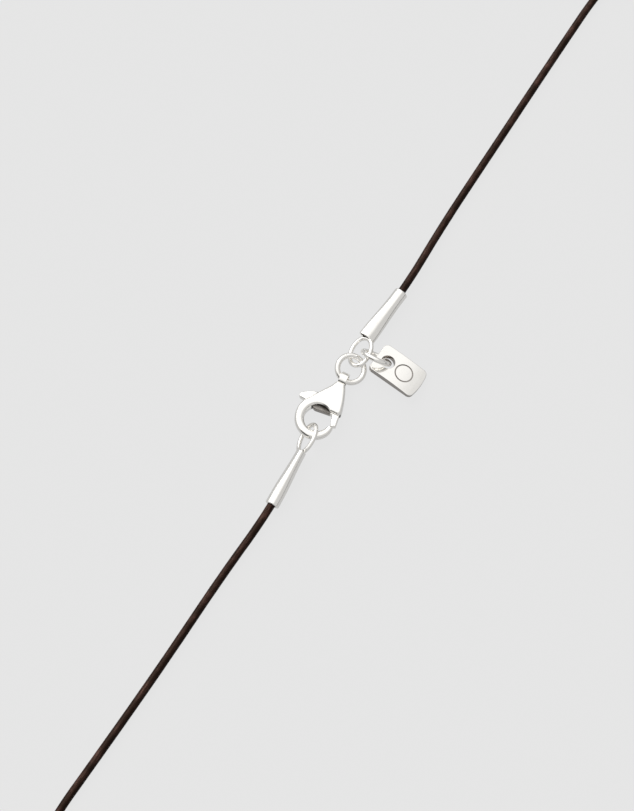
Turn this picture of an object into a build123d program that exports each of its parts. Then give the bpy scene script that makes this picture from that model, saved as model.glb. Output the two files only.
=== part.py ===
from build123d import *
from math import acos, asin, atan2, cos, degrees, hypot, pi, radians, sin, sqrt, tan
import os

# Necklace of one leather cord, laid flat with its lobster clasp closed.
# X runs to the right along the surface, Y away from the viewer, Z up off it.
# The origin is on the surface, under the middle of the metal pieces.

# Cord
cord_d = 1.5
cord_rest_z = 0.77  # height of its centre line where it lies on the surface
cord_seat = 4.0  # depth of each cord end inside its cap
seat_clearance = 0.05  # all round the cord, inside the cap
seat_end_gap = 0.4  # between the end of the cord and the bottom of its seat
cord_leaves = 3.6  # how far the cord goes on straight past the cap
bend_share = 0.45  # share of the shorter neighbouring run that each bend takes

# The cord's route over the surface, from the upper cap round to the lower cap
cord_route = [
    (19.2, 35.9),
    (28.6, 50.9),
    (40.1, 69.3),
    (51.9, 87.4),
    (63.2, 91.2),
    (71.8, 83.6),
    (73.6, 62.0),
    (72.2, 24.0),
    (69.2, -17.0),
    (63.2, -54.0),
    (50.6, -83.0),
    (28.0, -94.0),
    (3.0, -97.0),
    (-22.0, -97.2),
    (-42.4, -95.2),
    (-51.2, -88.4),
    (-53.0, -79.4),
    (-42.4, -63.6),
    (-33.0, -49.7),
    (-23.1, -34.5),
]

# End caps: a round tube, squeezed flat at the end that holds the loop
cap_length = 11.5
cap_d = 2.68
cap_straight = 1.6  # length left fully round at the cord end
cap_mouth_wide = 3.4
cap_mouth_narrow = 1.9
cap_wall = 0.34
cap_mouth_depth = 3.2
cap_rim_round = 0.22

# Oval wire loops, one soldered in the mouth of each cap
loop_wire_d = 0.86
loop_length = 6.6
loop_width = 5.0
loop_end_radius = 1.72  # of the wire's centre line at the two tight ends
seam_bead_d = 1.04
seam_angle = 48.0  # degrees from the end that is soldered

# Jump ring between the clasp and the upper loop
ring_wire_d = 1.06
ring_od = 6.26

# Ring of the tag
tag_ring_wire_d = 1.0
tag_ring_od = 6.4

# Tag
tag_length = 10.0
tag_width = 6.55
tag_thickness = 1.2
tag_corner = 0.95
tag_end_bulge = 0.45
tag_dome_radius = 45.0
tag_crown_back = 1.6  # from the tag's middle to the dome's crown, towards the hole
tag_hole_d = 2.8
tag_hole_from_end = 2.4
tag_edge_round = 0.15
groove_d = 3.7  # plain engraved ring
groove_width = 0.26
groove_depth = 0.14
groove_from_end = 3.95  # from the tag's far end to the middle of the engraved ring

# Lobster clasp, in its own frame: x from the eye to the hook, y towards the gate
eye_hole_d = 1.9
eye_wall = 0.45
eye_width = 1.4
eye_stem_thick = 1.6
eye_stem_sink = 0.2  # how far the eye's stem runs into the neck
neck_x = 1.2
neck_half = 0.98
neck_thick = 2.0
flank_x = 2.3  # where the left flank leaves the neck
flank_y = -1.45
shoulder_x = 7.25
shoulder_half = 2.86
side_x = 3.6  # the right flank swells out through this point
side_y = 1.98
shoulder_round = 0.7
body_thick = 2.75
full_thick_x = 5.4  # where the body has swollen to its full thickness
mid_swell = 0.7  # share of the swelling that is reached half-way there
body_round = 0.6
front_short = 0.1  # the front plate ends this much before the back one
front_trim = 4.24  # length of the straight cut at its shoulder
bow_x = 9.27  # centre of the hook's bow
bow_y = -0.91
bow_inner_r = 2.5
bow_wire = 1.78
hook_thick = 1.6
hook_settle = 5.0  # sections over which the hook thins from the body's thickness
hook_sections = 12
hook_roundness = 0.44  # corner radius as a share of the hook's width
tip_wire = 1.0
tip_thick = 1.42
tip_taper = 70.0  # degrees of the bow over which the hook thins to its tip
tip_ease = 1.3

# Lever of the clasp, with its gate and thumb tab
pivot_x = 4.7
pivot_y = 0.35
pin_d = 0.7
pin_clearance = 0.05
boss_d = 1.7
lever_thick = 1.3
side_clearance = 0.1  # between the lever and each plate
lever_gap = 0.15  # round the lever's edge
lever_round = 0.25
lever_travel = 25.0
gate_reach = 5.3  # from the pivot to the end of the gate
gate_inner_turn = 17.5  # degrees, from the pivot to the gate's two corners
gate_outer_turn = 29.0
gate_width = 1.5
gate_root = (6.3, 1.72)
elbow = (5.9, -3.8)
elbow_d = 2.3
thumb = (6.35, -5.45)
thumb_d = 1.2
heel_in = (7.15, 1.35)  # the lever's heel, between the gate and the elbow
heel_out = (7.55, -2.1)
heel_d = 0.8

# How the pieces lie
link_gap = 0.16
rest_gap = 0.02
clasp_turn = -116.4
clasp_rise = 3.2  # degrees that the hook end is lifted
eye_at = (-0.5, 3.5)
chain_turn = 57.6
ring_drop = 0.1  # middle of the jump ring below the middle of the eye
ring_lean = 17.0
loop_slack = 0.6  # free play between the jump ring and the end of the upper loop
upper_loop_turn = 68.0
upper_loop_rise = 2.0
upper_loop_roll = -27.0
upper_loop_seat = -0.3  # off the middle of the mouth, towards its lower wall
upper_cap_turn = 54.1
upper_cap_roll = 12.0
lower_loop_turn = 247.0
lower_loop_rise = -1.5
lower_loop_roll = -128.0
lower_loop_seat = 0.0
lower_loop_slack = 0.62  # free play between the hook and the end of the lower loop
lower_cap_turn = 241.6
lower_cap_roll = 82.0
tag_ring_turn = -28.5
tag_ring_lean = 26.0
tag_height = 2.2  # middle of the tag above the surface, at its hole
tag_shift = (-0.3, 0.0)  # middle of the hole from the middle of the ring's wire
tag_turn = -34.8
tag_roll = -13.0


def frame_at(origin, turn, rise=0.0, roll=0.0):
    """The place of a piece: its x axis turned about Z, lifted off the surface, then rolled."""
    return Location(origin) * Rot(Z=turn) * Rot(Y=-rise) * Rot(X=roll)


def point_of(place, x, y=0.0, z=0.0):
    """Where a point of a piece lies once the piece is placed."""
    return (place * Pos(x, y, z)).position


def towards(turn, distance):
    """A step over the surface."""
    return Vector(distance * cos(radians(turn)), distance * sin(radians(turn)), 0)


def round_spot(x, y, radius, turn):
    """A point of a circle, from its centre, radius and direction in degrees."""
    return (x + radius * cos(radians(turn)), y + radius * sin(radians(turn)))


# Wire loops and caps


def wire_arc(centre, radius, start, turn):
    """Loop wire bent to one arc in the XY plane."""
    spine = CenterArc(centre, radius, start, turn)
    section = Plane(origin=spine @ 0, z_dir=spine % 0) * Circle(loop_wire_d / 2)
    return sweep(section, path=spine)


loop_half_length = (loop_length - loop_wire_d) / 2
loop_half_width = (loop_width - loop_wire_d) / 2


def oval_loop():
    """Oval of round wire, its soldered end on +X, its seam beside that end."""
    end_x = loop_half_length - loop_end_radius
    side_radius = end_x**2 + loop_half_width**2 - loop_end_radius**2
    side_radius /= 2 * (loop_half_width - loop_end_radius)
    side_y = side_radius - loop_half_width
    half_end = degrees(atan2(side_y, end_x))
    loop = wire_arc((end_x, 0), loop_end_radius, -half_end, 2 * half_end)
    loop += wire_arc((0, -side_y), side_radius, half_end, 180 - 2 * half_end)
    loop += wire_arc((-end_x, 0), loop_end_radius, 180 - half_end, 2 * half_end)
    loop += wire_arc((0, side_y), side_radius, 180 + half_end, 180 - 2 * half_end)
    bead = round_spot(end_x, 0, loop_end_radius, -seam_angle)
    return loop + Pos(*bead) * Sphere(seam_bead_d / 2)


def squeezed(wall, length):
    """The cap's squeezed length, or the hollow inside its wall, from the mouth on."""
    taper = cap_length - cap_straight
    sections = []
    for share in (0, 1 / 3, 2 / 3, 1):
        x = length * share
        roundness = (1 - cos(pi * x / taper)) / 2
        wide = cap_mouth_wide + (cap_d - cap_mouth_wide) * roundness
        narrow = cap_mouth_narrow + (cap_d - cap_mouth_narrow) * roundness
        across = Plane(origin=(x, 0, 0), x_dir=(0, 1, 0), z_dir=(1, 0, 0))
        sections.append(across * Ellipse(wide / 2 - wall, narrow / 2 - wall))
    return loft(sections)


def cap_tube():
    """Cap with its mouth at x = 0 and the cord's seat at x = cap_length."""
    taper = cap_length - cap_straight
    round_end = Plane(origin=(taper, 0, 0), z_dir=(1, 0, 0)) * Circle(cap_d / 2)
    tube = squeezed(0, taper) + extrude(round_end, cap_straight)
    tube = fillet(tube.edges().sort_by(Axis.X)[-1], cap_rim_round)
    seat = Plane(origin=(cap_length, 0, 0), z_dir=(-1, 0, 0)) * Circle(cord_d / 2 + seat_clearance)
    tube -= extrude(seat, cord_seat + seat_end_gap)
    return tube - squeezed(cap_wall, cap_mouth_depth)


def cap_frame(loop_place, turn, roll, seat):
    """The cap lies with its round end on the surface and its mouth round the end of the loop."""
    held = point_of(loop_place, loop_half_length)
    fall = held.Z - cap_d / 2 - rest_gap
    rise = -degrees(asin(fall / cap_length))
    lean = frame_at((0, 0, 0), turn, rise, roll)
    return Location(held - point_of(lean, 0, 0, seat)) * lean


# Tag


def tag_plate():
    """Tag with its hole at the origin, its length along X and its face up."""
    left = -tag_hole_from_end
    right = left + tag_length
    half = tag_width / 2
    side_end = right - tag_end_bulge
    edge = Polyline((side_end, -half), (left, -half), (left, half), (side_end, half))
    edge += ThreePointArc((side_end, half), (right, 0), (side_end, -half))
    face = fillet(make_face(edge).vertices(), tag_corner)
    plate = extrude(face, tag_thickness / 2, both=True)
    crown_x = (left + right) / 2 - tag_crown_back
    dome = Pos(crown_x, 0, tag_thickness / 2 - tag_dome_radius) * Rot(X=90)
    plate &= dome * Cylinder(tag_dome_radius, 2 * tag_width)
    rims = plate.edges().filter_by(lambda e: abs((e % 0.5).Z) < 0.5)
    plate = fillet(rims, tag_edge_round)
    plate -= Cylinder(tag_hole_d / 2, 4 * tag_thickness)
    groove_x = right - groove_from_end
    drop = tag_dome_radius - sqrt(tag_dome_radius**2 - (groove_x - crown_x) ** 2)
    ring = Cylinder(groove_d / 2, 2 * groove_depth)
    ring -= Cylinder(groove_d / 2 - groove_width, 4 * groove_depth)
    return plate - Pos(groove_x, 0, tag_thickness / 2 - drop) * ring


# Clasp

bow_outer_r = bow_inner_r + bow_wire
plate_half = body_thick / 2
flank_reach = hypot(flank_x - bow_x, flank_y - bow_y)
flank_side = degrees(atan2(flank_y - bow_y, flank_x - bow_x)) % 360
root_turn = flank_side + degrees(acos(bow_outer_r / flank_reach))
tip_turn = 440.0


def body_plate():
    """Neck, flanks and shoulder, down to where the hook leaves the body."""
    hole_turn = 180 - degrees(acos((bow_x - shoulder_x) / bow_inner_r))
    hole_top = round_spot(bow_x, bow_y, bow_inner_r, hole_turn)
    root_in = round_spot(bow_x, bow_y, bow_inner_r, root_turn)
    root_out = round_spot(bow_x, bow_y, bow_outer_r, root_turn)
    edge = Polyline(
        root_in,
        root_out,
        (flank_x, flank_y),
        (neck_x, -neck_half),
        (neck_x, neck_half),
    )
    edge += ThreePointArc((neck_x, neck_half), (side_x, side_y), (shoulder_x, shoulder_half))
    edge += Line((shoulder_x, shoulder_half), hole_top)
    edge += CenterArc((bow_x, bow_y), bow_inner_r, hole_turn, root_turn - hole_turn)
    face = make_face(edge)
    corner = face.vertices().sort_by_distance((shoulder_x, shoulder_half, 0))[0]
    face = fillet(corner, shoulder_round)
    plate = extrude(face, plate_half, both=True)
    swell_x = (neck_x + full_thick_x) / 2
    swell_z = neck_thick / 2 + (plate_half - neck_thick / 2) * mid_swell
    for side in (1, -1):
        crest = ThreePointArc(
            (neck_x, 0, side * neck_thick / 2),
            (swell_x, 0, side * swell_z),
            (full_thick_x, 0, side * plate_half),
        )
        over = side * 2 * body_thick
        crest += Polyline(
            (full_thick_x, 0, side * plate_half),
            (full_thick_x, 0, over),
            (neck_x - 1, 0, over),
            (neck_x - 1, 0, side * neck_thick / 2),
            (neck_x, 0, side * neck_thick / 2),
        )
        plate -= extrude(make_face(crest), 3 * shoulder_half, dir=(0, 1, 0), both=True)
    root = Plane(origin=(*root_in, 0), z_dir=(root_in[1] - root_out[1], root_out[0] - root_in[0], 0))
    rims = ShapeList()
    for rim in plate.edges():
        middle = rim @ 0.5
        along = rim % 0.5
        on_root = abs(root.to_local_coords(middle).Z) < 0.01
        across = abs(along.Y) > 0.999
        upright = abs(along.Z) > 0.999
        if abs(middle.Z) > neck_thick / 3 and not (on_root or across or upright):
            rims.append(rim)
    return fillet(rims, body_round)


def hook():
    """The bow, from the body's thickness down to its slim tip."""
    sections = []
    for i in range(hook_sections + 1):
        turn = root_turn + (tip_turn - root_turn) * i / hook_sections
        thinned = max(0.0, 1 - (tip_turn - turn) / tip_taper)
        eased = (1 - cos(pi * min(1.0, i / hook_settle))) / 2
        wide = bow_wire + (tip_wire - bow_wire) * thinned**tip_ease
        thick = body_thick + (hook_thick - body_thick) * eased
        thick += (tip_thick - hook_thick) * thinned**2
        corner = body_round + (hook_roundness * wide - body_round) * max(eased, thinned)
        x, y = round_spot(bow_x, bow_y, bow_inner_r + wide / 2, turn)
        outward = (cos(radians(turn)), sin(radians(turn)), 0)
        along = (-outward[1], outward[0], 0)
        across = Plane(origin=(x, y, 0), x_dir=outward, z_dir=along)
        sections.append(across * RectangleRounded(wide, thick, corner))
    return loft(sections)


def bar(start, start_d, end, end_d):
    """Flat bar between two round ends, the seam of each circle turned in towards the bar."""
    turn = degrees(atan2(end[1] - start[1], end[0] - start[0]))
    near = Pos(*start) * Rot(Z=turn) * Circle(start_d / 2)
    far = Pos(*end) * Rot(Z=turn + 180) * Circle(end_d / 2)
    return make_hull(near.edges() + far.edges())


pivot = (pivot_x, pivot_y)


def lever_arm(gap=0.0):
    """From the pivot to the thumb tab."""
    arm = bar(pivot, boss_d + 2 * gap, elbow, elbow_d + 2 * gap)
    return arm + bar(elbow, elbow_d + 2 * gap, thumb, thumb_d + 2 * gap)


def lever_gate(gap=0.0):
    """From the pivot to the end that closes the hook, which is round about the pivot."""
    inner = round_spot(*pivot, gate_reach, gate_inner_turn)
    outer = round_spot(*pivot, gate_reach, gate_outer_turn)
    half = gate_width / 2
    run = hypot(inner[0] - gate_root[0], inner[1] - gate_root[1])
    lean = radians((gate_inner_turn + gate_outer_turn) / 4)
    root_in = (gate_root[0] + half * sin(lean), gate_root[1] - half * cos(lean))
    root_out = (gate_root[0] - half * sin(lean), gate_root[1] + half * cos(lean))
    edge = Polyline(outer, root_out, root_in, inner)
    edge += CenterArc(pivot, gate_reach, gate_inner_turn, gate_outer_turn - gate_inner_turn)
    gate = make_face(edge) + Pos(*gate_root) * Circle(half)
    if gap:
        gate = offset(gate, gap, kind=Kind.ARC)
    return gate + bar(pivot, boss_d + 2 * gap, gate_root, gate_width + 2 * gap)


def lever_heel(gap=0.0):
    """The lever's edge between gate and elbow, which closes the top of the hook's opening."""
    heel = make_face(Polyline(pivot, gate_root, heel_in, heel_out, elbow, close=True))
    heel += bar(heel_in, heel_d + 2 * gap, heel_out, heel_d + 2 * gap)
    return heel + bar(heel_out, heel_d + 2 * gap, elbow, elbow_d + 2 * gap)


def opened(spot):
    """Where a point of the lever comes to at the end of its travel."""
    far = hypot(spot[0] - pivot_x, spot[1] - pivot_y)
    turn = degrees(atan2(spot[1] - pivot_y, spot[0] - pivot_x)) - lever_travel
    return round_spot(*pivot, far, turn)


def swung(shape):
    """The lever's shape at the end of its travel."""
    return Pos(*pivot) * Rot(Z=-lever_travel) * Pos(-pivot_x, -pivot_y) * shape


def lever_room():
    """Slot between the plates that the lever swings in."""
    arm = lever_arm(lever_gap)
    gate = lever_gate(lever_gap)
    heel = lever_heel(lever_gap)
    gate_end = round_spot(*pivot, gate_reach, gate_inner_turn)
    passed = make_face(Polyline(pivot, elbow, thumb, opened(thumb), opened(elbow), close=True))
    swept = (pivot, gate_root, gate_end, opened(gate_end), opened(gate_root))
    passed += make_face(Polyline(*swept, close=True))
    passed += make_face(Polyline(pivot, heel_in, heel_out, opened(heel_out), opened(heel_in), close=True))
    room = arm + swung(arm) + gate + swung(gate) + heel + swung(heel) + passed
    return extrude(room, lever_thick / 2 + side_clearance, both=True)


def clasp_body():
    """Hollow body with its hook and its eye, in one piece with the lever's pin."""
    body = body_plate() + hook()
    tip_room = Pos(*pivot) * Circle(gate_reach + lever_gap)
    tip_room &= Pos(bow_x, shoulder_half) * Rectangle(2 * (bow_x - shoulder_x), 2 * (shoulder_half - bow_y))
    body -= extrude(tip_room, body_thick, both=True)
    front = Pos(bow_x - front_short, bow_y) * Circle(bow_inner_r)
    front += Pos(shoulder_x, shoulder_half) * Rectangle(front_short, front_trim)
    body -= extrude(front, body_thick).moved(Pos(0, 0, lever_thick / 2))
    body -= lever_room()
    body += Pos(*pivot) * Cylinder(pin_d / 2, lever_thick + 4 * side_clearance)
    eye_r = eye_hole_d / 2 + eye_wall
    eye = Rot(X=90) * Cylinder(eye_r, eye_width)
    stem = neck_x + eye_stem_sink
    eye += Pos(stem / 2, 0, 0) * Box(stem, eye_width, eye_stem_thick)
    eye -= Rot(X=90) * Cylinder(eye_hole_d / 2, 2 * eye_width)
    return body + eye


def clasp_lever():
    """Gate, boss and thumb tab in one flat piece."""
    lever = extrude(lever_arm() + lever_gate() + lever_heel(), lever_thick / 2, both=True)
    lever = fillet(lever.edges().filter_by(Plane.XY), lever_round)
    return lever - Pos(*pivot) * Cylinder(pin_d / 2 + pin_clearance, 2 * lever_thick)


# Places of the metal pieces

eye_radius = eye_hole_d / 2 + eye_wall
clasp_place = frame_at((*eye_at, eye_radius + rest_gap), clasp_turn, clasp_rise)

# The jump ring hangs low in the eye and leans down towards the surface
ring_radius = (ring_od - ring_wire_d) / 2
ring_height = eye_radius + rest_gap - ring_drop
ring_centre = Vector(*eye_at, ring_height) + towards(chain_turn, ring_radius)
ring_place = frame_at(ring_centre, chain_turn, 0, ring_lean)

# The upper loop hangs over the far side of the jump ring, one strand under it and one over
ring_far = ring_centre + towards(chain_turn, ring_radius)
loop_back = ring_wire_d / 2 + loop_slack + loop_wire_d / 2
loop_middle = ring_far + towards(upper_loop_turn, loop_half_length - loop_back)
loop_drop = loop_half_width * sin(radians(abs(upper_loop_roll)))
loop_height = loop_wire_d / 2 + loop_drop + 2 * rest_gap
loop_middle.Z = loop_height
upper_loop_place = frame_at(loop_middle, upper_loop_turn, upper_loop_rise, upper_loop_roll)
upper_cap_place = cap_frame(upper_loop_place, upper_cap_turn, upper_cap_roll, upper_loop_seat)

# The lower loop hangs round the middle of the hook's bow
bow_middle = point_of(clasp_place, bow_x + bow_inner_r + bow_wire / 2, bow_y)
loop_ahead = loop_half_length - loop_wire_d / 2 - bow_wire / 2 - lower_loop_slack
lower_middle = bow_middle + towards(lower_loop_turn, loop_ahead)
lower_middle.Z = loop_wire_d / 2 + loop_half_width * abs(sin(radians(lower_loop_roll))) + 2 * rest_gap
lower_loop_place = frame_at(lower_middle, lower_loop_turn, lower_loop_rise, lower_loop_roll)
lower_cap_place = cap_frame(lower_loop_place, lower_cap_turn, lower_cap_roll, lower_loop_seat)

# The tag's ring stands through the upper loop's outer strand and leans on it
tag_ring_radius = (tag_ring_od - tag_ring_wire_d) / 2
tag_ring_wire_r = tag_ring_wire_d / 2
tag_ring_height = tag_ring_wire_r + tag_ring_radius * cos(radians(tag_ring_lean)) + rest_gap
strand = point_of(upper_loop_place, 0, -loop_half_width)
strand_depth = (tag_ring_height - strand.Z) / cos(radians(tag_ring_lean))
tag_ring_reach = sqrt((tag_ring_radius - tag_ring_wire_r) ** 2 - strand_depth**2)
tag_ring_reach -= loop_wire_d / 2 + link_gap
tag_ring_centre = strand + towards(tag_ring_turn, tag_ring_reach)
tag_ring_centre -= towards(tag_ring_turn + 90, strand_depth * sin(radians(tag_ring_lean)))
tag_ring_centre.Z = tag_ring_height
tag_ring_place = frame_at(tag_ring_centre, tag_ring_turn, 0, 90 + tag_ring_lean)

# The tag lies with its hole round the ring's wire and its far end on the surface
ring_fall = (tag_ring_height - tag_height) / (tag_ring_radius * cos(radians(tag_ring_lean)))
hole_middle = tag_ring_centre + towards(tag_ring_turn, tag_ring_radius * sqrt(1 - ring_fall**2))
hole_middle += towards(tag_ring_turn + 90, tag_ring_radius * ring_fall * sin(radians(tag_ring_lean)))
hole_middle += Vector(*tag_shift, 0)
hole_middle.Z = tag_height
tag_low_side = tag_width / 2 * sin(radians(abs(tag_roll)))
tag_fall = tag_height - tag_low_side - tag_thickness / 2 - 2 * rest_gap
tag_rise = -degrees(asin(tag_fall / (tag_length - tag_hole_from_end)))
tag_place = frame_at(hole_middle, tag_turn, tag_rise, tag_roll)


def leather_cord():
    """The cord in straight runs joined by tangent arcs, from seat to seat."""
    inside = cap_length - cord_seat
    outside = cap_length + cord_leaves
    points = [point_of(upper_cap_place, inside), point_of(upper_cap_place, outside)]
    points += [Vector(x, y, cord_rest_z) for x, y in cord_route]
    points += [point_of(lower_cap_place, outside), point_of(lower_cap_place, inside)]
    runs = [end - start for start, end in zip(points, points[1:])]
    radii = []
    for before, after in zip(runs, runs[1:]):
        half_turn = radians(before.get_angle(after)) / 2
        radii.append(bend_share * min(before.length, after.length) / tan(half_turn))
    print("arc radii", [round(r, 1) for r in radii])
    path = FilletPolyline(*points, radius=radii)
    print("cord length", round(path.length, 1))
    section = Plane(origin=path @ 0, z_dir=path % 0) * Circle(cord_d / 2)
    tube = sweep(section, path=path)
    print("volume against section times length", round(tube.volume / (section.area * path.length), 4))
    return tube


pieces = {
    "leather_cord": leather_cord(),
    "upper_end_cap": upper_cap_place * cap_tube() + upper_loop_place * oval_loop(),
    "lower_end_cap": lower_cap_place * cap_tube() + lower_loop_place * oval_loop(),
    "jump_ring": ring_place * Torus(ring_radius, ring_wire_d / 2),
    "tag_ring": tag_ring_place * Torus(tag_ring_radius, tag_ring_wire_r),
    "tag": tag_place * tag_plate(),
    "clasp_body": clasp_place * clasp_body(),
    "clasp_lever": clasp_place * clasp_lever(),
}

os.makedirs("parts", exist_ok=True)
for name, piece in pieces.items():
    export_step(piece, f"parts/{name}.step")
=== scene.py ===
"""Leather cord necklace with a lobster clasp, laid flat.

One operator makes each piece or group of like pieces.
"""

from math import atan2, cos, pi, radians, sin, tau

import bpy
from mathutils import Matrix, Vector


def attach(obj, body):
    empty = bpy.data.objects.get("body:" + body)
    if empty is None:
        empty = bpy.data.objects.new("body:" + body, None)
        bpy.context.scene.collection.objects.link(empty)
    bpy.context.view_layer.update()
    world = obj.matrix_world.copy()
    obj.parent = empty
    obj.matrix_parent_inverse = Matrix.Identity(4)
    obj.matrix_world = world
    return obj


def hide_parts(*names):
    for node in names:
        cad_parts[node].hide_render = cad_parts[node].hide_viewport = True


bl_info = {
    "name": "Leather Cord Necklace",
    "version": (1, 0, 0),
    "blender": (4, 5, 0),
    "location": "View3D > Sidebar > Necklace",
    "description": "Makes a leather cord necklace with its silver clasp, rings and tag",
    "category": "Object",
}

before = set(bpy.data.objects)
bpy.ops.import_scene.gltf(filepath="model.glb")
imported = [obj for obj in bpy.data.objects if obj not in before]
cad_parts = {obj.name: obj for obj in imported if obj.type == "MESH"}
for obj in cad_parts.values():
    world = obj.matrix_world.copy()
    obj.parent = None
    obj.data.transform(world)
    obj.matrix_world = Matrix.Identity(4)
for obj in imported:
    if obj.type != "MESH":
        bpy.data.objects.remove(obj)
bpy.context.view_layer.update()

MM = 0.001

# Places of the pieces: origin in millimetres, then turn, rise and roll in degrees
CLASP_PLACE = ((-0.5, 3.5, 1.42), -116.4, 3.2, 0.0)
JUMP_RING_PLACE = ((0.89315, 5.69525, 1.32), 57.6, 0.0, 17.0)
TAG_RING_PLACE = ((5.66013, 7.40845, 2.94674), -28.5, 0.0, 116.0)
TAG_PLACE = ((7.79159, 6.50271, 2.2), -34.8, -6.219, -13.0)
UPPER_LOOP_PLACE = ((2.77703, 9.10512, 1.40976), 68.0, 2.0, -27.0)
LOWER_LOOP_PLACE = ((-7.29878, -8.27348, 2.10118), 247.0, -1.5, -128.0)
UPPER_CAP_PLACE = ((3.90427, 11.73104, 1.80334), 54.1, -0.747, 12.0)
LOWER_CAP_PLACE = ((-8.4198, -10.91442, 2.02605), 241.6, -3.32, 82.0)

# Rings and oval loops in millimetres: radii to the middle of the wire, length and width outside
JUMP_RING_RADIUS = 2.6
TAG_RING_RADIUS = 2.7
LOOP_LENGTH = 6.6
LOOP_WIDTH = 5.0
LOOP_END_RADIUS = 1.72

# Steps round a ring and along each arc of a loop
RING_POINTS = 160
ARC_STEPS = 24

# Where the soldered seams lie, in metres along each wire
JUMP_RING_SEAM = 0.0023
TAG_RING_SEAM = 0.0071
LOOP_SEAM = 0.0143

# End caps, in millimetres from the mouth: squeezed flat there and round at the cord's end
CAP_LENGTH = 11.5
CAP_TAPER = 9.9
CAP_RADIUS = 1.34
CAP_WALL = 0.34
MOUTH_HALF_WIDTH = 1.7
MOUTH_HALF_HEIGHT = 0.95
MOUTH_DEPTH = 3.2
MOUTH_ROUND = 0.1
RIM_ROUND = 0.22
SEAT_RADIUS = 0.8
SEAT_DEPTH = 4.4
SEAT_ROUND = 0.05
END_RADIUS = 0.02  # of the small circles that close the skin

# Steps round a cap and along each stretch of its skin
CAP_SIDES = 72
HOLLOW_STEPS = 8
EDGE_STEPS = 8
SIDE_STEPS = 48
RIM_STEPS = 8
SEAT_STEPS = 4

# Painted shade in the tag's hole and engraved groove and in the clasp's hollow, in millimetres in the
# piece's frame
TAG_HOLE_MIDDLE = (0.0, 0.0, 0.0)
TAG_HOLE_SHADE = 1.46
GROOVE_MIDDLE = (3.65, 0.0, 0.0)
GROOVE_RADIUS = 1.72
GROOVE_HALF_WIDTH = 0.15
HOLLOW_MIDDLE = (6.0, -1.15, 0.0)

# Painted shade on silver: in the clasp's hollow, in the caps' mouths, and in the tag's hole, groove and
# sides
HOLLOW_SHADE_DARK = (0.02, 0.018, 0.015, 1.0)
CAP_MOUTH_SHADE = (0.05, 0.045, 0.04, 1.0)
SHADE_GREY_SILVER = (0.3, 0.28, 0.26, 1.0)
EDGE_SHADE_SILVER = (0.38, 0.36, 0.34, 1.0)

# The camera looks at its aim, in millimetres, from straight above but for its tilt in degrees
CAMERA_AIM = (-5.5, -1.14, 0.0)
CAMERA_TILT = 18.0
CAMERA_DISTANCE = 0.4
CAMERA_LENS = 94.1
CAMERA_SENSOR = 36.0

# Half the floor's side, in metres, and the shares of its glow that silver and leather get
FLOOR_HALF = 3.0
FLOOR_TO_SILVER = 0.71
FLOOR_TO_LEATHER = 0.2

# Studio: brightness, the side of each light or flag, and the cosines between which it fades
BACKDROP = 0.78
ROOM = 0.62
SOFTBOX = 0.43
SOFTBOX_SIDE = Vector((-0.33, 0.498, 0.8))
SOFTBOX_EDGE = (0.45, 0.72)
HORIZON = 0.35
HORIZON_EDGE = (0.0, 0.25)
FLAG = 0.15
FLAG_SIDE = Vector((-0.67, -0.57, 0.43)).normalized()
FLAG_EDGE = (0.91, 0.975)
LAMP = 2.5
LAMP_SIDE = Vector((-0.41, 0.57, 0.71)).normalized()
LAMP_EDGE = (0.95, 0.985)
LEATHER_LAMP = 12.0
LEATHER_LAMP_EDGE = (0.8, 0.95)
LEATHER_ROOM = 0.15

# The cord's route, in metres, from its seat in the upper cap round to its seat in the lower cap
CORD_REST = 0.00077
CORD_ROUTE = [
    (0.0083017, 0.0178058, 0.0017056),
    (0.0115850, 0.0223400, 0.0016320),
    (0.0192, 0.0359, CORD_REST),
    (0.0287, 0.0509, CORD_REST),
    (0.0403, 0.0693, CORD_REST),
    (0.0545, 0.0914, CORD_REST),
    (0.0645, 0.0932, CORD_REST),
    (0.0718, 0.0836, CORD_REST),
    (0.0736, 0.0620, CORD_REST),
    (0.0722, 0.0240, CORD_REST),
    (0.0692, -0.0170, CORD_REST),
    (0.0632, -0.0540, CORD_REST),
    (0.0506, -0.0830, CORD_REST),
    (0.0280, -0.0940, CORD_REST),
    (0.0030, -0.0970, CORD_REST),
    (-0.0220, -0.0972, CORD_REST),
    (-0.0440, -0.0962, CORD_REST),
    (-0.0540, -0.0910, CORD_REST),
    (-0.0554, -0.0830, CORD_REST),
    (-0.0421, -0.0636, CORD_REST),
    (-0.0328, -0.0497, CORD_REST),
    (-0.0231, -0.0345, CORD_REST),
    (-0.0147350, -0.0225940, 0.0012560),
    (-0.0119810, -0.0175007, 0.0015917),
]


# Helpers


def place_matrix(place):
    """Where a piece lies, for a mesh in millimetres."""
    origin, turn, rise, roll = place
    turned = Matrix.Rotation(radians(turn), 4, "Z")
    lifted = Matrix.Rotation(radians(-rise), 4, "Y")
    rolled = Matrix.Rotation(radians(roll), 4, "X")
    return Matrix.Scale(MM, 4) @ Matrix.Translation(origin) @ turned @ lifted @ rolled


def axis_of(place, axis):
    """A direction of a piece's own frame, as the piece lies."""
    return (place_matrix(place).to_3x3() @ Vector(axis)).normalized()


def link(obj):
    """Adds an object to the scene."""
    bpy.context.scene.collection.objects.link(obj)
    return obj


def mesh_piece(name, verts, faces, place, material):
    """A smooth piece from vertices in millimetres in its own frame."""
    mesh = bpy.data.meshes.new(name)
    mesh.from_pydata([tuple(v) for v in verts], [], faces)
    mesh.transform(place_matrix(place))
    mesh.validate()
    mesh.shade_smooth()
    mesh.materials.append(material)
    return link(bpy.data.objects.new(name, mesh))


def settle(obj, piece_name):
    """The plain mesh that a modified or curve object evaluates to."""
    graph = bpy.context.evaluated_depsgraph_get()
    graph.update()
    source = obj.evaluated_get(graph)
    mesh = bpy.data.meshes.new_from_object(source, preserve_all_data_layers=True, depsgraph=graph)
    mesh.name = piece_name
    bpy.data.objects.remove(obj)
    return link(bpy.data.objects.new(piece_name, mesh))


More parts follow.
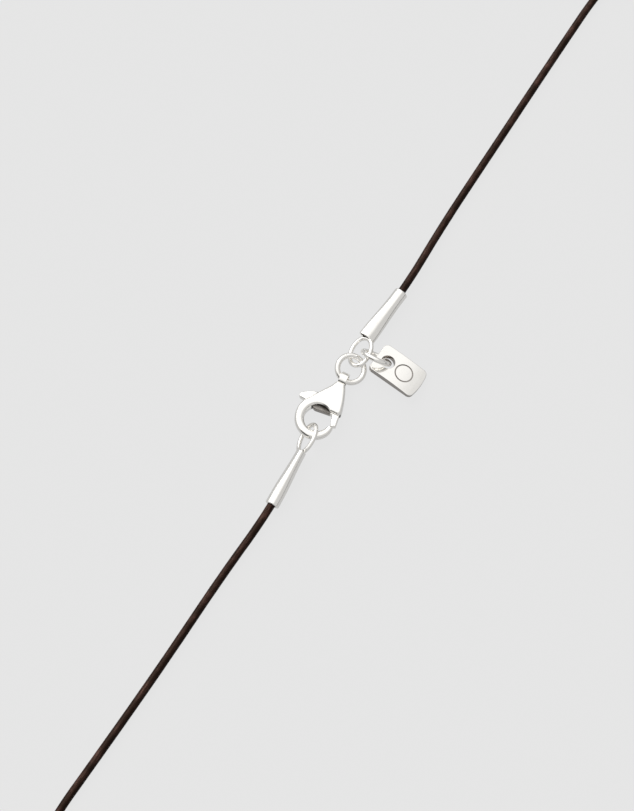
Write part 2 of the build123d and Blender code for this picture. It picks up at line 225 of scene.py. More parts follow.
def tube_faces(stations, around):
    """Outward quads between rings of points that follow one another along +X."""
    faces = []
    for i in range(stations - 1):
        here = i * around
        there = here + around
        for k in range(around):
            n = (k + 1) % around
            faces.append((there + k, there + n, here + n, here + k))
    return faces


# Node helpers


def new_group(name, kind, inputs, outputs):
    """A node group with named sockets, and its input and output nodes."""
    group = bpy.data.node_groups.new(name, kind)
    for socket_name, socket_type, default in inputs:
        socket = group.interface.new_socket(socket_name, in_out="INPUT", socket_type=socket_type)
        if default is not None:
            socket.default_value = default
    for socket_name, socket_type in outputs:
        group.interface.new_socket(socket_name, in_out="OUTPUT", socket_type=socket_type)
    source = group.nodes.new("NodeGroupInput")
    sink = group.nodes.new("NodeGroupOutput")
    return group, source, sink


class Wiring:
    """Short ways to add and join nodes of one tree."""

    def __init__(self, tree):
        self.tree = tree

    def feed(self, value, socket):
        if isinstance(value, bpy.types.NodeSocket):
            self.tree.links.new(value, socket)
        else:
            socket.default_value = value

    def node(self, kind, settings=None, **sockets):
        made = self.tree.nodes.new(kind)
        for key, value in (settings or {}).items():
            setattr(made, key, value)
        for key, value in sockets.items():
            self.feed(value, made.inputs[key.replace("_", " ")])
        return made

    def math(self, operation, a, b=0.0, clamp=False):
        made = self.node("ShaderNodeMath", {"operation": operation, "use_clamp": clamp})
        self.feed(a, made.inputs[0])
        self.feed(b, made.inputs[1])
        return made.outputs[0]

    def vector(self, operation, a, b=None, scale=None):
        made = self.node("ShaderNodeVectorMath", {"operation": operation})
        self.feed(a, made.inputs[0])
        if b is not None:
            self.feed(b, made.inputs[1])
        if scale is not None:
            self.feed(scale, made.inputs["Scale"])
        return made.outputs[0]

    def dot(self, a, b):
        made = self.node("ShaderNodeVectorMath", {"operation": "DOT_PRODUCT"})
        self.feed(a, made.inputs[0])
        self.feed(b, made.inputs[1])
        return made.outputs["Value"]

    def span(self, value, low, high, to_low=0.0, to_high=1.0):
        """Runs smoothly from one value to the other between two limits."""
        made = self.node(
            "ShaderNodeMapRange",
            {"interpolation_type": "SMOOTHSTEP"},
            Value=value,
            From_Min=low,
            From_Max=high,
            To_Min=to_low,
            To_Max=to_high,
        )
        return made.outputs["Result"]

    def mix(self, factor, a, b, kind="RGBA"):
        made = self.node("ShaderNodeMix", {"data_type": kind})
        self.feed(factor, made.inputs["Factor"])
        self.feed(a, made.inputs["A"])
        self.feed(b, made.inputs["B"])
        return made.outputs["Result"]

    def noise(self, vector, scale, detail=2.0, roughness=0.5):
        made = self.node(
            "ShaderNodeTexNoise",
            Vector=vector,
            Scale=scale,
            Detail=detail,
            Roughness=roughness,
        )
        return made.outputs["Fac"]

    def mapping(self, vector, scale, rotation=(0.0, 0.0, 0.0)):
        return self.node("ShaderNodeMapping", Vector=vector, Scale=scale, Rotation=rotation).outputs[0]


# Geometry Nodes: round stock that follows a path


def stock_tree():
    """Round wire or cord swept along a path, with slight unevenness and one closed seam."""
    tree, source, sink = new_group(
        "Round stock along a path",
        "GeometryNodeTree",
        [
            ("Path", "NodeSocketGeometry", None),
            ("Diameter", "NodeSocketFloat", 0.001),
            ("Step", "NodeSocketFloat", 0.0002),
            ("Sides", "NodeSocketInt", 24),
            ("Seam at", "NodeSocketFloat", -1.0),
            ("Seam width", "NodeSocketFloat", 0.00006),
            ("Seam depth", "NodeSocketFloat", 0.06),
            ("Unevenness", "NodeSocketFloat", 0.00001),
            ("Uneven every", "NodeSocketFloat", 0.002),
            ("Seed", "NodeSocketFloat", 3.0),
            ("Material", "NodeSocketMaterial", None),
        ],
        [("Geometry", "NodeSocketGeometry")],
    )
    w = Wiring(tree)
    given = source.outputs
    path = w.node(
        "GeometryNodeResampleCurve",
        {"mode": "LENGTH"},
        Curve=given["Path"],
        Length=given["Step"],
    )
    along = w.node("GeometryNodeSplineParameter").outputs["Length"]
    off_seam = w.math("DIVIDE", w.math("SUBTRACT", along, given["Seam at"]), given["Seam width"])
    seam = w.math("EXPONENT", w.math("MULTIPLY", w.math("MULTIPLY", off_seam, off_seam), -1.0))
    radius = w.math("SUBTRACT", 1.0, w.math("MULTIPLY", seam, given["Seam depth"]))
    marked = w.node(
        "GeometryNodeStoreNamedAttribute",
        {"data_type": "FLOAT", "domain": "POINT"},
        Geometry=path.outputs[0],
        Name="stock_along",
        Value=along,
    )
    round_of = w.node(
        "GeometryNodeCurvePrimitiveCircle",
        {"mode": "RADIUS"},
        Resolution=given["Sides"],
        Radius=w.math("MULTIPLY", given["Diameter"], 0.5),
    )
    section = w.node(
        "GeometryNodeStoreNamedAttribute",
        {"data_type": "FLOAT_VECTOR", "domain": "POINT"},
        Geometry=round_of.outputs["Curve"],
        Name="stock_section",
        Value=w.node("GeometryNodeInputPosition").outputs[0],
    )
    swept = w.node(
        "GeometryNodeCurveToMesh",
        Curve=marked.outputs[0],
        Profile_Curve=section.outputs[0],
        Scale=radius,
        Fill_Caps=True,
    )
    place = w.node("GeometryNodeInputPosition").outputs[0]
    spot = w.vector("SCALE", place, scale=w.math("DIVIDE", 1.0, given["Uneven every"]))
    shifted = w.vector("ADD", spot, w.node("ShaderNodeCombineXYZ", X=given["Seed"]).outputs[0])
    lump = w.math("SUBTRACT", w.noise(shifted, scale=1.0), 0.5)
    push = w.math("MULTIPLY", lump, w.math("MULTIPLY", given["Unevenness"], 2.0))
    outward = w.node("GeometryNodeInputNormal").outputs[0]
    offset = w.vector("SCALE", outward, scale=push)
    worn_and_shade_ramp = w.node("GeometryNodeSetPosition", Geometry=swept.outputs[0], Offset=offset)
    smooth = w.node("GeometryNodeSetShadeSmooth", Geometry=worn_and_shade_ramp.outputs[0])
    real = w.node("GeometryNodeRealizeInstances", Geometry=smooth.outputs[0])
    done = w.node("GeometryNodeSetMaterial", Geometry=real.outputs[0], Material=given["Material"])
    tree.links.new(done.outputs[0], sink.inputs[0])
    return tree


def sweep_stock(name, curve_object, material, **sizes):
    """Gives a path its round stock, and returns the plain mesh piece."""
    tree = bpy.data.node_groups.get("Round stock along a path") or stock_tree()
    modifier = curve_object.modifiers.new("Stock", "NODES")
    modifier.node_group = tree
    keys = {item.name: item.identifier for item in tree.interface.items_tree if item.in_out == "INPUT"}
    for key, value in sizes.items():
        modifier[keys[key.replace("_", " ")]] = value
    modifier[keys["Material"]] = material
    return settle(curve_object, name)


def closed_path(name, points):
    """A closed path of short straight runs through points in metres."""
    curve = bpy.data.curves.new(name, "CURVE")
    curve.dimensions = "3D"
    spline = curve.splines.new("POLY")
    spline.points.add(len(points) - 1)
    for point, spot in zip(spline.points, points):
        point.co = (*spot, 1.0)
    spline.use_cyclic_u = True
    return link(bpy.data.objects.new(name, curve))


# Shader groups


def silver_wear_group():
    """Hand polish on silver: soft unevenness, hairline scratches and a faint warm bloom."""
    group, source, sink = new_group(
        "Silver wear",
        "ShaderNodeTree",
        [
            ("Polish", "NodeSocketFloat", 0.14),
            ("Scratches", "NodeSocketFloat", 0.4),
            ("Waviness", "NodeSocketFloat", 0.5),
            ("Bright", "NodeSocketColor", None),
            ("Bloom", "NodeSocketColor", (0.86, 0.83, 0.78, 1.0)),
            ("Bloom amount", "NodeSocketFloat", 0.25),
        ],
        [("Color", "NodeSocketColor"), ("Roughness", "NodeSocketFloat"), ("Normal", "NodeSocketVector")],
    )
    w = Wiring(group)
    given = source.outputs
    place = w.node("ShaderNodeTexCoord").outputs["Object"]
    cloud = w.noise(place, scale=420.0, detail=3.0, roughness=0.6)
    fine = w.noise(place, scale=5200.0, roughness=0.6)
    swell = w.noise(place, scale=700.0, detail=1.0, roughness=0.4)
    lengthwise = w.mapping(place, scale=(1.0, 0.04, 0.3), rotation=(0.5, 0.3, 0.9))
    crosswise = w.mapping(place, scale=(0.05, 1.0, 0.3), rotation=(-0.4, 0.7, -0.6))
    hairs = w.noise(lengthwise, scale=9000.0, roughness=0.65)
    cross_hairs = w.noise(crosswise, scale=8000.0, roughness=0.65)
    scratch = w.math("MAXIMUM", w.span(hairs, 0.62, 0.74), w.span(cross_hairs, 0.64, 0.76))
    amount = w.math("MULTIPLY", scratch, given["Scratches"])
    veil = w.math("MULTIPLY", w.span(cloud, 0.48, 0.75), given["Bloom amount"])
    color = w.mix(veil, given["Bright"], given["Bloom"])
    rough = w.math("ADD", given["Polish"], w.math("MULTIPLY", w.math("SUBTRACT", fine, 0.5), 0.05))
    rough = w.math("ADD", rough, w.math("MULTIPLY", veil, 0.12))
    rough = w.math("ADD", rough, w.math("MULTIPLY", amount, 0.12), clamp=True)
    wave = w.node("ShaderNodeBump", Strength=given["Waviness"], Distance=0.00002, Height=swell)
    cut = w.node(
        "ShaderNodeBump",
        Strength=amount,
        Distance=0.000002,
        Height=scratch,
        Normal=wave.outputs[0],
    )
    w.feed(color, sink.inputs["Color"])
    w.feed(rough, sink.inputs["Roughness"])
    w.feed(cut.outputs[0], sink.inputs["Normal"])
    return group


def leather_grain_group():
    """Rubbed round leather: fine pores, lengthwise creases and uneven dye."""
    group, source, sink = new_group(
        "Leather grain",
        "ShaderNodeTree",
        [
            ("Dark", "NodeSocketColor", None),
            ("Rubbed", "NodeSocketColor", None),
            ("Gloss", "NodeSocketFloat", 0.4),
            ("Grain", "NodeSocketFloat", 0.5),
        ],
        [("Color", "NodeSocketColor"), ("Roughness", "NodeSocketFloat"), ("Normal", "NodeSocketVector")],
    )
    w = Wiring(group)
    given = source.outputs
    section = w.node("ShaderNodeAttribute", {"attribute_name": "stock_section"}).outputs["Vector"]
    along = w.node("ShaderNodeAttribute", {"attribute_name": "stock_along"}).outputs["Fac"]
    coords = w.vector("ADD", section, w.node("ShaderNodeCombineXYZ", Z=along).outputs[0])
    stretched = w.mapping(coords, scale=(1.0, 1.0, 0.12))
    creases = w.noise(stretched, scale=4200.0, detail=3.0, roughness=0.6)
    pores = w.noise(coords, scale=9000.0, detail=3.0, roughness=0.7)
    dye = w.noise(coords, scale=260.0, detail=3.0, roughness=0.6)
    rub = w.math("MULTIPLY", w.span(dye, 0.35, 0.75), w.span(creases, 0.3, 0.75))
    color = w.mix(rub, given["Dark"], given["Rubbed"])
    height = w.math("ADD", w.math("MULTIPLY", creases, 0.7), w.math("MULTIPLY", pores, 0.5))
    rough = w.math("ADD", given["Gloss"], w.math("MULTIPLY", w.math("SUBTRACT", pores, 0.5), 0.3))
    rough = w.math("SUBTRACT", rough, w.math("MULTIPLY", rub, 0.06), clamp=True)
    bump = w.node("ShaderNodeBump", Strength=given["Grain"], Distance=0.00003, Height=height)
    w.feed(color, sink.inputs["Color"])
    w.feed(rough, sink.inputs["Roughness"])
    w.feed(bump.outputs[0], sink.inputs["Normal"])
    return group


def group_node(material, group, values):
    """A shader group placed in a material with its own values."""
    effect = material.node_tree.nodes.new("ShaderNodeGroup")
    effect.node_tree = group
    for key, value in values.items():
        effect.inputs[key].default_value = value
    return effect


def group_material(name, group, values, shader_values):
    """A Principled material whose colour, roughness and normal come from one group."""
    material = bpy.data.materials.new(name)
    material.use_nodes = True
    shader = material.node_tree.nodes["Principled BSDF"]
    effect = group_node(material, group, values)
    join = material.node_tree.links.new
    join(effect.outputs["Color"], shader.inputs["Base Color"])
    join(effect.outputs["Roughness"], shader.inputs["Roughness"])
    join(effect.outputs["Normal"], shader.inputs["Normal"])
    for key, value in shader_values.items():
        shader.inputs[key].default_value = value
    return material


def silver(name, rougher, scratches, waviness):
    """Polished silver for one kind of piece, with its own wear and so much rougher than the polish."""
    finish = bpy.context.scene.necklace_silver
    group = bpy.data.node_groups.get("Silver wear") or silver_wear_group()
    values = {
        "Polish": finish.polish + rougher,
        "Scratches": scratches,
        "Waviness": waviness,
        "Bright": (*finish.colour, 1.0),
    }
    return group_material(name, group, values, {"Metallic": 1.0})


def wire_silver():
    """The silver of rings and loops."""
    known = bpy.data.materials.get("silver_wire")
    return known or silver("silver_wire", rougher=-0.02, scratches=0.3, waviness=0.6)


def cap_mouth_shade():
    """Painted shade inside a cap's mouth: dark, rougher metal."""
    material = silver("silver_mouth_shade", rougher=0.36, scratches=0.2, waviness=0.8)
    shader = material.node_tree.nodes["Principled BSDF"]
    material.node_tree.links.remove(shader.inputs["Base Color"].links[0])
    shader.inputs["Base Color"].default_value = CAP_MOUTH_SHADE
    shader.inputs["Metallic"].default_value = 0.5
    return material


def hollow_shade_group():
    """How far a spot of the lever lies between the clasp's plates, and the painted shade there: dark
    under the plates, lighter toward the heel.
    """
    group, source, sink = new_group(
        "Clasp hollow shade",
        "ShaderNodeTree",
        [
            ("Middle", "NodeSocketVector", (0.0, 0.0, 0.0)),
            ("Across", "NodeSocketVector", (0.0, 1.0, 0.0)),
            ("Along", "NodeSocketVector", (1.0, 0.0, 0.0)),
            ("Half width", "NodeSocketFloat", 0.0022),
            ("Fade", "NodeSocketFloat", 0.0003),
            ("Shade lifts from", "NodeSocketFloat", 0.0012),
            ("Shade lifts to", "NodeSocketFloat", 0.0021),
            ("Dark", "NodeSocketColor", HOLLOW_SHADE_DARK),
            ("Lighter shade", "NodeSocketColor", SHADE_GREY_SILVER),
        ],
        [("Mask", "NodeSocketFloat"), ("Color", "NodeSocketColor")],
    )
    w = Wiring(group)
    given = source.outputs
    place = w.node("ShaderNodeTexCoord").outputs["Object"]
    away = w.vector("SUBTRACT", place, given["Middle"])
    off = w.math("ABSOLUTE", w.dot(away, given["Across"]))
    inner = w.math("SUBTRACT", given["Half width"], given["Fade"])
    uneven = w.math("MULTIPLY", w.noise(place, scale=900.0, detail=1.0), 0.0006)
    ahead = w.math("ADD", w.dot(away, given["Along"]), uneven)
    worn_and_shade_ramp = w.span(ahead, given["Shade lifts from"], given["Shade lifts to"])
    w.feed(w.span(off, inner, given["Half width"], 1.0, 0.0), sink.inputs["Mask"])
    w.feed(w.mix(worn_and_shade_ramp, given["Dark"], given["Lighter shade"]), sink.inputs["Color"])
    return group


def paint_shade(material, mask, color):
    """Mixes a darker colour, painted shade, into a material where its mask is."""
    w = Wiring(material.node_tree)
    base = material.node_tree.nodes["Principled BSDF"].inputs["Base Color"]
    bright = base.links[0].from_socket
    w.feed(w.mix(mask, bright, color), base)


def paint_hollow_shade(material):
    """Painted shade on the part of the lever that the plates cover."""
    values = {
        "Middle": place_matrix(CLASP_PLACE) @ Vector(HOLLOW_MIDDLE),
        "Across": axis_of(CLASP_PLACE, (0.0, 1.0, 0.0)),
        "Along": axis_of(CLASP_PLACE, (1.0, 0.0, 0.0)),
    }
    effect = group_node(material, hollow_shade_group(), values)
    paint_shade(material, effect.outputs["Mask"], effect.outputs["Color"])


def plate_edge_group():
    """Mask of the faces that stand square to a plate."""
    group, source, sink = new_group(
        "Plate edge",
        "ShaderNodeTree",
        [("Axis", "NodeSocketVector", (0.0, 0.0, 1.0))],
        [("Mask", "NodeSocketFloat")],
    )
    w = Wiring(group)
    normal = w.node("ShaderNodeNewGeometry").outputs["True Normal"]
    level = w.math("ABSOLUTE", w.dot(normal, source.outputs["Axis"]))
    w.feed(w.span(level, 0.3, 0.75, 1.0, 0.0), sink.inputs["Mask"])
    return group


def ring_band_group():
    """Mask of a round band about an axis, such as a hole's wall or an engraved ring."""
    group, source, sink = new_group(
        "Ring band",
        "ShaderNodeTree",
        [
            ("Middle", "NodeSocketVector", (0.0, 0.0, 0.0)),
            ("Axis", "NodeSocketVector", (0.0, 0.0, 1.0)),
            ("Radius", "NodeSocketFloat", 0.001),
            ("Half width", "NodeSocketFloat", 0.0001),
        ],
        [("Mask", "NodeSocketFloat")],
    )
    w = Wiring(group)
    given = source.outputs
    place = w.node("ShaderNodeTexCoord").outputs["Object"]
    away = w.vector("SUBTRACT", place, given["Middle"])
    across = w.vector("CROSS_PRODUCT", away, given["Axis"])
    far = w.math("SQRT", w.dot(across, across))
    off = w.math("ABSOLUTE", w.math("SUBTRACT", far, given["Radius"]))
    inner = w.math("MULTIPLY", given["Half width"], 0.8)
    w.feed(w.span(off, inner, given["Half width"], 1.0, 0.0), sink.inputs["Mask"])
    return group


def paint_band_shade(material, place, middle, radius, half_width):
    """Paints shade into a round band of a piece, its middle and sizes in millimetres in the piece's
    frame.
    """
    group = bpy.data.node_groups.get("Ring band") or ring_band_group()
    values = {
        "Middle": place_matrix(place) @ Vector(middle),
        "Axis": axis_of(place, (0.0, 0.0, 1.0)),
        "Radius": radius * MM,
        "Half width": half_width * MM,
    }
    effect = group_node(material, group, values)
    paint_shade(material, effect.outputs["Mask"], SHADE_GREY_SILVER)


def paint_edge_shade(material, place):
    """Painted shade on the sides of a plate."""
    effect = group_node(material, plate_edge_group(), {"Axis": axis_of(place, (0.0, 0.0, 1.0))})
    paint_shade(material, effect.outputs["Mask"], EDGE_SHADE_SILVER)


def finish_node(name, material):
    """Gives a CAD piece its material."""
    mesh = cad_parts[name].data
    mesh.materials.clear()
    mesh.materials.append(material)


# Sizes and colours that a user would change


class CordSettings(bpy.types.PropertyGroup):
    diameter: bpy.props.FloatProperty(
        name="Diameter",
        description="Thickness of the leather cord",
        default=0.0015,
        unit="LENGTH",
        precision=5,
    )
    length: bpy.props.FloatProperty(
        name="Length",
        description="Length of the cord from seat to seat",
        default=0.4616,
        unit="LENGTH",
    )
    dark: bpy.props.FloatVectorProperty(
        name="Dye",
        description="Colour of the dyed leather",
        default=(0.003, 0.0014, 0.0009),
        subtype="COLOR",
    )
    rubbed: bpy.props.FloatVectorProperty(
        name="Rubbed",
        description="Colour where the dye is rubbed",
        default=(0.049, 0.023, 0.0185),
        subtype="COLOR",
    )


class SilverSettings(bpy.types.PropertyGroup):
    colour: bpy.props.FloatVectorProperty(
        name="Colour",
        description="Colour of the polished silver",
        default=(0.97, 0.955, 0.925),
        subtype="COLOR",
    )
    polish: bpy.props.FloatProperty(
        name="Polish",
        description="Roughness of the polished faces, from which each kind of piece differs a little",
        default=0.14,
        min=0.05,
        max=0.6,
        subtype="FACTOR",
    )
    ring_wire: bpy.props.FloatProperty(
        name="Ring wire",
        description="Wire of the jump ring",
        default=0.00106,
        unit="LENGTH",
        precision=5,
    )
    tag_ring_wire: bpy.props.FloatProperty(
        name="Tag ring wire",
        description="Wire of the tag's ring",
        default=0.001,
        unit="LENGTH",
        precision=5,
    )
    loop_wire: bpy.props.FloatProperty(
        name="Loop wire",
        description="Wire of the oval loops",
        default=0.00086,
        unit="LENGTH",
        precision=5,
    )


class StageSettings(bpy.types.PropertyGroup):
    floor_colour: bpy.props.FloatVectorProperty(
        name="Floor",
        description="Colour of the floor, dark so that it shows hardly any shadow",
        default=(0.01, 0.01, 0.01),
        subtype="COLOR",
    )
    floor_glow: bpy.props.FloatProperty(
        name="Floor glow",
        description="Brightness of the floor by itself",
        default=0.767,
    )


# Pieces


class NECKLACE_OT_camera(bpy.types.Operator):
    """Camera above the necklace, leaning back a little"""

    bl_idname = "necklace.camera"
    bl_label = "Camera"

    def execute(self, context):
        camera = bpy.data.cameras.new("camera")
        camera.type = "PERSP"
        camera.sensor_fit = "VERTICAL"
        camera.sensor_height = CAMERA_SENSOR
        camera.sensor_width = CAMERA_SENSOR
        camera.lens = CAMERA_LENS
        camera.clip_start = 0.01
        camera.clip_end = 20.0
        obj = link(bpy.data.objects.new("camera", camera))
        tilt = radians(CAMERA_TILT)
        obj.location = Vector(CAMERA_AIM) * MM + Vector((0.0, -sin(tilt), cos(tilt))) * CAMERA_DISTANCE
        obj.rotation_euler = (tilt, 0.0, 0.0)
        context.scene.camera = obj
        return {"FINISHED"}


def leather():
    """Dark dyed leather with a warm, low gloss."""
    colours = bpy.context.scene.necklace_cord
    values = {"Dark": (*colours.dark, 1.0), "Rubbed": (*colours.rubbed, 1.0)}
    gloss = {"Specular IOR Level": 0.15, "Specular Tint": (1.0, 0.64, 0.5, 1.0)}
    return group_material("dark_leather", leather_grain_group(), values, gloss)


class NECKLACE_OT_cord(bpy.types.Operator):
    """The leather cord, one smooth line from cap to cap"""

    bl_idname = "necklace.cord"
    bl_label = "Leather cord"

    def execute(self, context):
        sizes = context.scene.necklace_cord
        curve = bpy.data.curves.new("cord_route", "CURVE")
        curve.dimensions = "3D"
        curve.resolution_u = 24
        spline = curve.splines.new("NURBS")
        spline.points.add(len(CORD_ROUTE) - 1)
        for point, spot in zip(spline.points, CORD_ROUTE):
            point.co = (*spot, 1.0)
        spline.order_u = 3
        spline.use_endpoint_u = True
        route = link(bpy.data.objects.new("cord_route", curve))
        graph = context.evaluated_depsgraph_get()
        graph.update()
        line = bpy.data.meshes.new_from_object(route.evaluated_get(graph))
        cord = sweep_stock(
            "round_leather_cord",
            route,
            leather(),
            Diameter=sizes.diameter,
            Step=0.00035,
            Sides=28,
            Unevenness=0.00002,
            Uneven_every=0.003,
        )
        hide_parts("leather_cord")
        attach(cord, "necklace")
        return {"FINISHED"}


def oval_points(wire):
    """The wire's centre line of an oval loop, in millimetres, starting at its middle on +X."""
    half_length = (LOOP_LENGTH - wire) / 2
    half_width = (LOOP_WIDTH - wire) / 2
    end_x = half_length - LOOP_END_RADIUS
    side = (end_x**2 + half_width**2 - LOOP_END_RADIUS**2) / (2 * (half_width - LOOP_END_RADIUS))
    side_y = side - half_width
    half_end = atan2(side_y, end_x)
    arcs = [
        ((end_x, 0), LOOP_END_RADIUS, 0, half_end),
        ((0, -side_y), side, half_end, pi - half_end),
        ((-end_x, 0), LOOP_END_RADIUS, pi - half_end, pi + half_end),
        ((0, side_y), side, pi + half_end, tau - half_end),
        ((end_x, 0), LOOP_END_RADIUS, tau - half_end, tau),
    ]
    points = []
    for (x, y), radius, start, end in arcs:
        for i in range(ARC_STEPS):
            turn = start + (end - start) * i / ARC_STEPS
            points.append((x + radius * cos(turn), y + radius * sin(turn), 0.0))
    return points


def wire_link(name, points, place, wire, material, seam_at):
    """A closed link of round wire along points in its own frame, in millimetres."""
    matrix = place_matrix(place)
    path = closed_path(name + "_path", [matrix @ Vector(point) for point in points])
    return sweep_stock(
        name,
        path,
        material,
        Diameter=wire,
        Step=0.00006,
        Sides=40,
        Seam_at=seam_at,
        Seam_width=0.00005,
        Seam_depth=0.1,
        Unevenness=0.000012,
        Uneven_every=0.0012,
    )


def circle_points(radius):
    """A ring's centre line, in millimetres, starting on +X."""
    turns = [tau * i / RING_POINTS for i in range(RING_POINTS)]
    return [(radius * cos(turn), radius * sin(turn), 0.0) for turn in turns]


class NECKLACE_OT_rings(bpy.types.Operator):
    """Jump ring and the tag's ring"""

    bl_idname = "necklace.rings"
    bl_label = "Rings"

    def execute(self, context):
        sizes = context.scene.necklace_silver
        rings = (
            ("jump_ring", JUMP_RING_RADIUS, JUMP_RING_PLACE, sizes.ring_wire, JUMP_RING_SEAM),
            ("tag_ring", TAG_RING_RADIUS, TAG_RING_PLACE, sizes.tag_ring_wire, TAG_RING_SEAM),
        )
        for node, radius, place, wire, seam in rings:
            ring = wire_link(node + "_wire", circle_points(radius), place, wire, wire_silver(), seam)
            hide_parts(node)
            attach(ring, "necklace")
        return {"FINISHED"}


def cap_half_sizes(x):
    """Half width and half thickness of the cap at a distance from its mouth."""
    roundness = (1 - cos(pi * min(x, CAP_TAPER) / CAP_TAPER)) / 2
    wide = MOUTH_HALF_WIDTH + (CAP_RADIUS - MOUTH_HALF_WIDTH) * roundness
    return wide, MOUTH_HALF_HEIGHT + (CAP_RADIUS - MOUTH_HALF_HEIGHT) * roundness


def cap_rings():
    """Stations of the cap's whole skin: hollow, mouth edge, outside, rim and the cord's seat."""
    rings = [(MOUTH_DEPTH, None)]
    for i in range(HOLLOW_STEPS):
        rings.append((MOUTH_DEPTH * (1 - i / HOLLOW_STEPS), -CAP_WALL))
    rings.append((MOUTH_ROUND, -CAP_WALL))
    middle = -CAP_WALL / 2
    for i in range(1, EDGE_STEPS):
        turn = pi * i / EDGE_STEPS
        rings.append((MOUTH_ROUND * (1 - sin(turn)), middle - cos(turn) * CAP_WALL / 2))
    side = CAP_LENGTH - RIM_ROUND - MOUTH_ROUND
    for i in range(SIDE_STEPS + 1):
        rings.append((MOUTH_ROUND + side * i / SIDE_STEPS, 0.0))
    for i in range(1, RIM_STEPS + 1):
        turn = pi / 2 * i / RIM_STEPS
        rings.append((CAP_LENGTH - RIM_ROUND * (1 - sin(turn)), -RIM_ROUND * (1 - cos(turn))))
    seat = SEAT_RADIUS - CAP_RADIUS
    for i in range(1, SEAT_STEPS + 1):
        turn = pi / 2 * i / SEAT_STEPS
        rings.append((CAP_LENGTH - SEAT_ROUND * (1 - cos(turn)), seat + SEAT_ROUND * (1 - sin(turn))))
    rings.append((CAP_LENGTH - SEAT_DEPTH, seat))
    rings.append((CAP_LENGTH - SEAT_DEPTH, None))
    return rings


def cap_mesh():
    """Vertices and faces of a cap's tube, in millimetres in its own frame."""
    rings = cap_rings()
    verts = []
    for x, inset in rings:
        wide, narrow = cap_half_sizes(x)
        if inset is None:
            wide = narrow = END_RADIUS
            inset = 0.0
        for k in range(CAP_SIDES):
            turn = tau * k / CAP_SIDES
            verts.append((x, (wide + inset) * cos(turn), (narrow + inset) * sin(turn)))
    faces = tube_faces(len(rings), CAP_SIDES)
    faces.append(tuple(range(CAP_SIDES)))
    faces.append(tuple(reversed(range(len(verts) - CAP_SIDES, len(verts)))))
    return verts, faces


def paint_mouth_shade(tube, material):
    """Gives the cap's hollow, up to the first ring of its mouth's edge, the painted shade material."""
    tube.data.materials.append(material)
    hollow_end = (HOLLOW_STEPS + 3) * CAP_SIDES
    for face in tube.data.polygons:
        if max(face.vertices) < hollow_end:
            face.material_index = 1


class NECKLACE_OT_end_caps(bpy.types.Operator):
    """The two end caps, each with its oval loop"""

    bl_idname = "necklace.end_caps"
    bl_label = "End caps"

    def execute(self, context):
        wire = context.scene.necklace_silver.loop_wire
        tube_silver = silver("silver_tube", rougher=0.02, scratches=0.5, waviness=0.9)
        # Painted shade inside the caps' mouths
        mouth_shade_silver = cap_mouth_shade()
        verts, faces = cap_mesh()
        loop = oval_points(wire / MM)
        for side, cap_place, loop_place in (
            ("upper", UPPER_CAP_PLACE, UPPER_LOOP_PLACE),
            ("lower", LOWER_CAP_PLACE, LOWER_LOOP_PLACE),
        ):
            tube = mesh_piece(side + "_cap_tube", verts, faces, cap_place, tube_silver)
            paint_mouth_shade(tube, mouth_shade_silver)
            oval = wire_link(side + "_cap_loop", loop, loop_place, wire, wire_silver(), LOOP_SEAM)
            for piece in (tube, oval):
                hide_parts(side + "_end_cap")
                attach(piece, "necklace")
        return {"FINISHED"}


class NECKLACE_OT_tag(bpy.types.Operator):
    """The small tag"""

    bl_idname = "necklace.tag"
    bl_label = "Tag"

    def execute(self, context):
        face_silver = silver("silver_tag", rougher=-0.04, scratches=0.5, waviness=0.3)
        # Painted shade in the tag's hole, on its sides and in its engraved groove
        paint_band_shade(face_silver, TAG_PLACE, TAG_HOLE_MIDDLE, 0.0, TAG_HOLE_SHADE)
        paint_edge_shade(face_silver, TAG_PLACE)
        paint_band_shade(face_silver, TAG_PLACE, GROOVE_MIDDLE, GROOVE_RADIUS, GROOVE_HALF_WIDTH)
        finish_node("tag", face_silver)
        return {"FINISHED"}


class NECKLACE_OT_clasp(bpy.types.Operator):
    """The lobster clasp's body and lever"""

    bl_idname = "necklace.clasp"
    bl_label = "Clasp"

    def execute(self, context):
        finish_node("clasp_body", silver("silver_cast", rougher=-0.01, scratches=0.4, waviness=0.8))
        lever_silver = silver("silver_lever", rougher=0.02, scratches=0.4, waviness=0.8)
        # Painted shade on the lever where the plates cover it
        paint_hollow_shade(lever_silver)
        finish_node("clasp_lever", lever_silver)
        return {"FINISHED"}


def floor_paper(settings):
    """Paper that glows evenly, less so in what silver mirrors and on leather."""
    paper = bpy.data.materials.new("floor_paper")
    paper.use_nodes = True
    shader = paper.node_tree.nodes["Principled BSDF"]
    shader.inputs["Base Color"].default_value = (*settings.floor_colour, 1.0)
    shader.inputs["Roughness"].default_value = 1.0
    shader.inputs["Specular IOR Level"].default_value = 0.0
    shader.inputs["Emission Color"].default_value = (1.0, 1.0, 1.0, 1.0)
    w = Wiring(paper.node_tree)
    rays = w.node("ShaderNodeLightPath").outputs
    seen = w.math("MULTIPLY", rays["Is Camera Ray"], 1.0 - FLOOR_TO_LEATHER)
    mirrored = w.math("MULTIPLY", rays["Is Glossy Ray"], FLOOR_TO_SILVER - FLOOR_TO_LEATHER)
    share = w.math("ADD", w.math("ADD", seen, mirrored), FLOOR_TO_LEATHER)
    w.feed(w.math("MULTIPLY", share, settings.floor_glow), shader.inputs["Emission Strength"])
    return paper


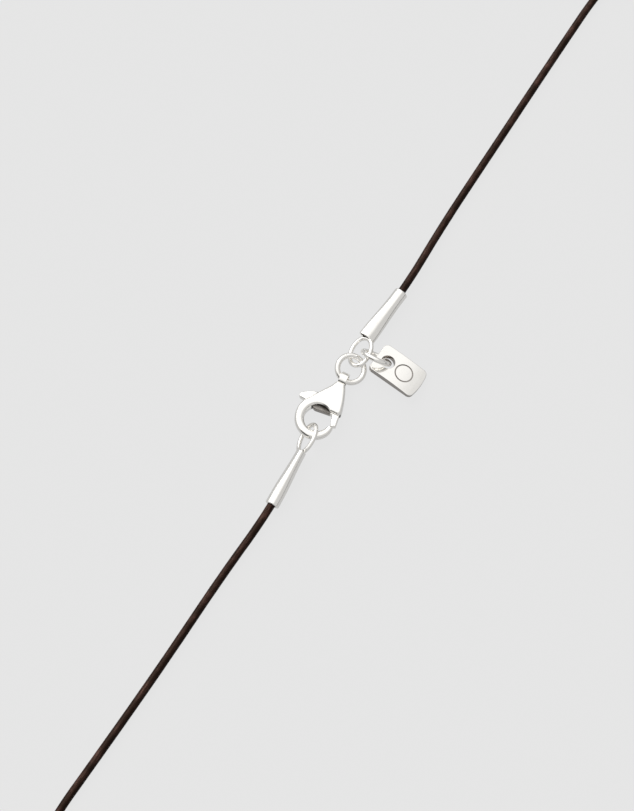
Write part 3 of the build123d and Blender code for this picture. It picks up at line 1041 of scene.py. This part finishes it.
def studio_world():
    """A pale room with a softbox, a dark flag and a lamp, over a plain backdrop."""
    world = bpy.data.worlds.new("studio")
    world.use_nodes = True
    background = world.node_tree.nodes["Background"]
    background.inputs["Color"].default_value = (1.0, 0.995, 0.985, 1.0)
    w = Wiring(world.node_tree)
    rays = w.node("ShaderNodeLightPath").outputs
    direction = w.node("ShaderNodeTexCoord").outputs["Generated"]
    up = w.node("ShaderNodeSeparateXYZ", Vector=direction).outputs["Z"]
    room = w.math("ADD", w.span(w.dot(direction, SOFTBOX_SIDE), *SOFTBOX_EDGE, 0.0, SOFTBOX), ROOM)
    horizon = w.span(up, *HORIZON_EDGE, HORIZON, 1.0)
    flag = w.span(w.dot(direction, FLAG_SIDE), *FLAG_EDGE, 1.0, FLAG)
    tent = w.math("MULTIPLY", w.math("MULTIPLY", room, horizon), flag)
    near_lamp = w.dot(direction, LAMP_SIDE)
    on_silver = w.math("ADD", tent, w.span(near_lamp, *LAMP_EDGE, 0.0, LAMP))
    dim_tent = w.math("MULTIPLY", tent, LEATHER_ROOM)
    on_leather = w.math("ADD", dim_tent, w.span(near_lamp, *LEATHER_LAMP_EDGE, 0.0, LEATHER_LAMP))
    lit = w.mix(rays["Is Glossy Ray"], on_leather, on_silver, "FLOAT")
    w.feed(w.mix(rays["Is Camera Ray"], lit, BACKDROP, "FLOAT"), background.inputs["Strength"])
    return world


class NECKLACE_OT_stage(bpy.types.Operator):
    """Pale floor and soft studio light"""

    bl_idname = "necklace.stage"
    bl_label = "Stage"

    def execute(self, context):
        sides = ((-1, -1), (1, -1), (1, 1), (-1, 1))
        corners = [(x * FLOOR_HALF, y * FLOOR_HALF, 0.0) for x, y in sides]
        mesh = bpy.data.meshes.new("floor")
        mesh.from_pydata(corners, [], [(0, 1, 2, 3)])
        mesh.materials.append(floor_paper(context.scene.necklace_stage))
        floor = link(bpy.data.objects.new("floor", mesh))
        context.scene.world = studio_world()
        context.scene.view_settings.view_transform = "Standard"
        return {"FINISHED"}


class NECKLACE_PT_panel(bpy.types.Panel):
    """Buttons for the pieces and their settings"""

    bl_label = "Necklace"
    bl_idname = "NECKLACE_PT_panel"
    bl_space_type = "VIEW_3D"
    bl_region_type = "UI"
    bl_category = "Necklace"

    def draw(self, context):
        for operator in OPERATORS:
            self.layout.operator(operator.bl_idname)
        for key in SETTINGS:
            settings = getattr(context.scene, key)
            box = self.layout.box()
            for name in settings.__annotations__:
                box.prop(settings, name)


SETTINGS = {
    "necklace_cord": CordSettings,
    "necklace_silver": SilverSettings,
    "necklace_stage": StageSettings,
}
OPERATORS = (
    NECKLACE_OT_camera,
    NECKLACE_OT_cord,
    NECKLACE_OT_end_caps,
    NECKLACE_OT_rings,
    NECKLACE_OT_tag,
    NECKLACE_OT_clasp,
    NECKLACE_OT_stage,
)


def register():
    for cls in (*SETTINGS.values(), *OPERATORS, NECKLACE_PT_panel):
        bpy.utils.register_class(cls)
    for key, cls in SETTINGS.items():
        setattr(bpy.types.Scene, key, bpy.props.PointerProperty(type=cls))


def unregister():
    for key in SETTINGS:
        delattr(bpy.types.Scene, key)
    for cls in (NECKLACE_PT_panel, *reversed(OPERATORS), *SETTINGS.values()):
        bpy.utils.unregister_class(cls)


def main():
    register()
    for operator in OPERATORS:
        group, name = operator.bl_idname.split(".")
        getattr(getattr(bpy.ops, group), name)()


if __name__ == "__main__":
    main()
